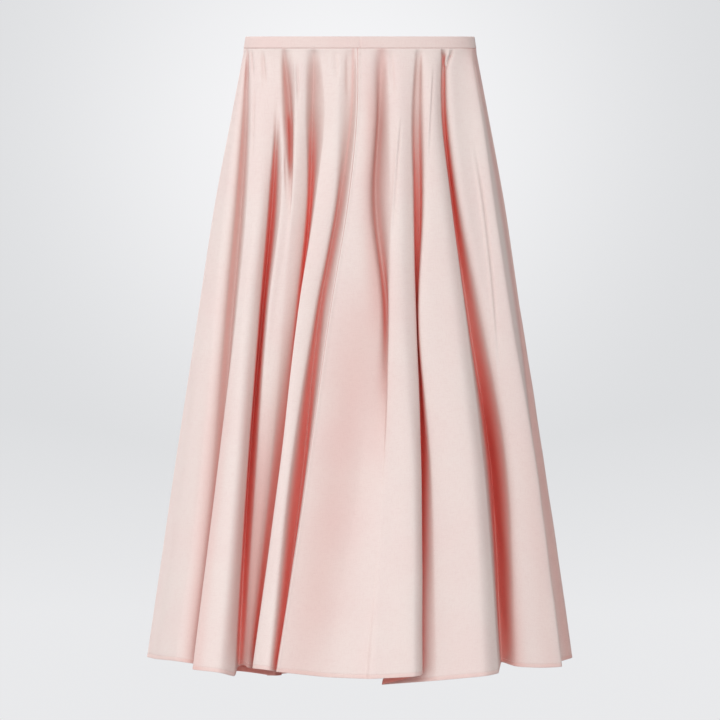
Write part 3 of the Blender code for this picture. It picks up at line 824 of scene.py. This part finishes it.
def cloth_colour(tree, place, slub, hem_radius):
    """Pink that drifts a little, pinker at the doubled hem, with painted shade that is greyer and then deep
    pink where the folds shut the cloth in, deeper on its inside, and the washes of painted shading.
    """
    patch = add_node(tree, "TexNoise", {"Vector": place, "Scale": 1 / PATCH_SIZE, "Detail": 3.0},
                     noise_dimensions="2D").outputs[0]
    colour = mixed(tree, ranged(tree, patch, *PATCH_TINT), PALE_PINK, ROSY_PINK)
    if hem_radius:
        out = add_node(tree, "VectorMath", {0: place}, operation="LENGTH").outputs[1]
        at_hem = ranged(tree, out, hem_radius - HEM_STITCH * MM, hem_radius - HEM_PINK)
        colour = mixed(tree, at_hem, colour, mixed(tree, 1.0, colour, HEM_SHADE, "MULTIPLY"))
    # painted shade: the cloth turns greyer, then deep pink, the less open it is to other folds
    openness = add_node(tree, "AmbientOcclusion", {"Distance": FOLD_REACH},
                        samples=OPEN_SAMPLES)
    open_share = ranged(tree, openness.outputs["AO"], FOLD_SHUT, FOLD_OPEN)
    # the cloth's inside gets deeper painted shade
    inside = add_node(tree, "Attribute", attribute_name="inside").outputs["Fac"]
    side_share = ranged(tree, inside, 0, 1, 1, 1 - INSIDE_PAINTED_SHADE)
    open_share = add_node(tree, "Math", {0: open_share, 1: side_share},
                          operation="MULTIPLY").outputs[0]
    middle = mixed(tree, 1.0, colour, MIDDLE_PAINTED_SHADE, "MULTIPLY")
    deep = mixed(tree, ranged(tree, open_share, 0.0, FOLD_MIDDLE), DEEP_PAINTED_SHADE, middle)
    colour = mixed(tree, ranged(tree, open_share, FOLD_MIDDLE, 1.0), deep, colour)
    # washes: painted shade, and below 0 painted light, on the panels; on the band its doubled cloth
    painted_shading_and_doubling = add_node(tree, "Attribute", attribute_name="painted_shading_and_doubling").outputs["Fac"]
    washed = mixed(tree, painted_shading_and_doubling, WHITE, PAINTED_SHADING_AND_DOUBLE_TINT, clamp_factor=False)
    colour = mixed(tree, 1.0, colour, washed, "MULTIPLY")
    shaded = mixed(tree, 1.0, colour, SLUB_SHADE, "MULTIPLY")
    return mixed(tree, ranged(tree, slub, *SLUB_TINT), colour, shaded)


def weave_bump(tree, place, slub):
    """The threads' ridges, with the slubs' thickness over them."""
    weave = add_node(tree, "Math", {0: threads(tree, place, "X"), 1: threads(tree, place, "Y")},
                     operation="MAXIMUM").outputs[0]
    fine = add_node(tree, "Bump", {"Height": weave, "Strength": 1.0, "Distance": WEAVE_DEPTH})
    return add_node(tree, "Bump", {"Height": slub, "Strength": 1.0, "Distance": SLUB_DEPTH,
                                   "Normal": fine.outputs[0]}).outputs[0]


def cloth_material(name, hem_radius=None):
    """Plain weave of fine thread with slubs and a faint sheen, pinker at a hem if it has one."""
    material = bpy.data.materials.new(name)
    material.use_nodes = True
    tree = material.node_tree
    shader = tree.nodes["Principled BSDF"]
    place = add_node(tree, "UVMap", uv_map="flat_cloth").outputs[0]
    weft = slubs(tree, place, SLUB_LENGTH, SLUB_WIDTH)
    warp = slubs(tree, place, SLUB_WIDTH, SLUB_LENGTH)
    slub = add_node(tree, "Math", {0: weft, 1: warp}, operation="MAXIMUM").outputs[0]
    tree.links.new(cloth_colour(tree, place, slub, hem_radius), shader.inputs["Base Color"])
    tree.links.new(ranged(tree, slub, *SLUB_GLOSS, *ROUGHNESS), shader.inputs["Roughness"])
    tree.links.new(weave_bump(tree, place, slub), shader.inputs["Normal"])
    shader.inputs["Sheen Weight"].default_value = SHEEN
    shader.inputs["Sheen Roughness"].default_value = SHEEN_ROUGHNESS
    shader.inputs["Sheen Tint"].default_value = SHEEN_PINK
    shader.inputs["Specular IOR Level"].default_value = SPECULAR
    shader.inputs["Specular Tint"].default_value = SHEEN_PINK
    return material


def thread_material():
    """Twisted sewing thread with a little lustre."""
    material = bpy.data.materials.new("pink_thread")
    material.use_nodes = True
    tree = material.node_tree
    shader = tree.nodes["Principled BSDF"]
    place = add_node(tree, "TexCoord").outputs["Object"]
    twist = add_node(tree, "TexWave", {"Vector": place, "Scale": TWIST_SCALE, "Distortion": 1.0},
                     bands_direction="DIAGONAL").outputs[1]
    shade = mixed(tree, 1.0, THREAD_PINK, SLUB_SHADE, "MULTIPLY")
    tree.links.new(mixed(tree, twist, shade, THREAD_PINK), shader.inputs["Base Color"])
    tree.links.new(ranged(tree, twist, 0, 1, *TWIST_ROUGHNESS), shader.inputs["Roughness"])
    bump = add_node(tree, "Bump", {"Height": twist, "Strength": TWIST_STRENGTH,
                                   "Distance": TWIST_DEPTH})
    tree.links.new(bump.outputs[0], shader.inputs["Normal"])
    return material


# ---------------------------------------------------------------- studio

def build_camera():
    """Camera square to the front and far off, so that it sees the skirt as the photo does."""
    data = bpy.data.cameras.new("camera")
    data.sensor_width = SENSOR
    data.lens = SENSOR * CAMERA_DISTANCE / PICTURE_HEIGHT
    data.clip_end = CLIP_END
    camera = bpy.data.objects.new("camera", data)
    camera.location = (0, -CAMERA_DISTANCE, CAMERA_LEVEL)
    camera.rotation_euler = (math.pi / 2, 0, 0)
    bpy.context.scene.collection.objects.link(camera)
    bpy.context.scene.camera = camera


def soft_sun(light):
    """A broad light that comes from one direction."""
    data = bpy.data.lights.new(light.name, "SUN")
    data.angle = math.radians(SUN_SPREAD)
    data.energy = light.strength * math.pi
    sun = bpy.data.objects.new(light.name, data)
    round_z, up = math.radians(light.azimuth), math.radians(light.elevation)
    towards = (math.sin(round_z) * math.cos(up), -math.cos(round_z) * math.cos(up), math.sin(up))
    sun.rotation_euler = Vector(towards).to_track_quat("Z", "Y").to_euler()
    bpy.context.scene.collection.objects.link(sun)


def build_world():
    """Even light from all round, and a pale backdrop where the camera looks past the skirt."""
    world = bpy.data.worlds.new("studio")
    bpy.context.scene.world = world
    world.use_nodes = True
    tree = world.node_tree
    towards = add_node(tree, "TexCoord").outputs["Generated"]
    middle = Vector(GLOW_TOWARDS).normalized()
    off = add_node(tree, "VectorMath", {0: towards, 1: middle}, operation="DISTANCE").outputs[1]
    glow = add_node(tree, "MapRange", {"Value": off, "From Min": GLOW_REACH, "From Max": 0.0},
                    interpolation_type="SMOOTHSTEP").outputs[0]
    x, _, z = add_node(tree, "SeparateXYZ", {0: towards}).outputs
    low_glow = ranged(tree, z, LOW_FROM, LOW_TO, 0.0, LOW_GLOW)
    glow = add_node(tree, "Math", {0: glow, 1: low_glow}, operation="MAXIMUM").outputs[0]
    seen = tree.nodes["Background"]
    tree.links.new(mixed(tree, glow, SEEN_GREY, GLOW_GREY), seen.inputs["Color"])
    light = add_node(tree, "Background", {
        "Color": WHITE, "Strength": ranged(tree, x, FLAG_FROM, 1.0, AMBIENT, FLAG_LIGHT)})
    path = add_node(tree, "LightPath")
    mix = add_node(tree, "MixShader", {0: path.outputs["Is Camera Ray"], 1: light.outputs[0],
                                       2: seen.outputs[0]})
    tree.links.new(mix.outputs[0], tree.nodes["World Output"].inputs["Surface"])


def build_floor():
    """Pale round floor under the skirt, fading out at its edge and clear from below."""
    bpy.ops.mesh.primitive_circle_add(vertices=FLOOR_SIDES, radius=FLOOR_RADIUS,
                                      fill_type="NGON", location=(0, 0, FLOOR_LEVEL))
    floor = bpy.context.object
    floor.name = "floor"
    floor.visible_diffuse = False
    floor.visible_glossy = False
    material = bpy.data.materials.new("pale_floor")
    material.use_nodes = True
    tree = material.node_tree
    tree.nodes.remove(tree.nodes["Principled BSDF"])
    place = add_node(tree, "TexCoord").outputs["Object"]
    out = add_node(tree, "VectorMath", {0: place}, operation="LENGTH").outputs[1]
    fading = ranged(tree, out, *(share * FLOOR_RADIUS for share in FLOOR_FADE))
    below = add_node(tree, "NewGeometry").outputs["Backfacing"]
    fading = add_node(tree, "Math", {0: fading, 1: below}, operation="MAXIMUM").outputs[0]
    matt = add_node(tree, "BsdfDiffuse", {"Color": FLOOR_GREY})
    clear = add_node(tree, "BsdfTransparent")
    mix = add_node(tree, "MixShader", {0: fading, 1: matt.outputs[0], 2: clear.outputs[0]})
    tree.links.new(mix.outputs[0], tree.nodes["Material Output"].inputs["Surface"])
    floor.data.materials.append(material)


def build_studio():
    """Pale studio: world, floor and lights."""
    scene = bpy.context.scene
    scene.view_settings.view_transform = "Standard"
    scene.cycles.max_bounces = BOUNCES
    scene.cycles.diffuse_bounces = DIFFUSE_BOUNCES
    build_world()
    build_floor()
    for light in SUNS:
        soft_sun(light)


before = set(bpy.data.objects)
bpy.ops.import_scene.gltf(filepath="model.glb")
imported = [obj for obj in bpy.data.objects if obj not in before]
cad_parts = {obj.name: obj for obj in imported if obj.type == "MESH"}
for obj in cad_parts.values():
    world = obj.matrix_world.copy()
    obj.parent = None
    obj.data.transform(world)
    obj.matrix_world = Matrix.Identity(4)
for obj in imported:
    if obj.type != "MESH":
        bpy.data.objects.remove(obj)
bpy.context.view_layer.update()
thread = thread_material()
build_waistband(cloth_material("band_cloth"), thread)
build_panels(cloth_material("panel_cloth", (CUT_RADIUS + CUT_LENGTH) * MM), thread)
build_camera()
build_studio()
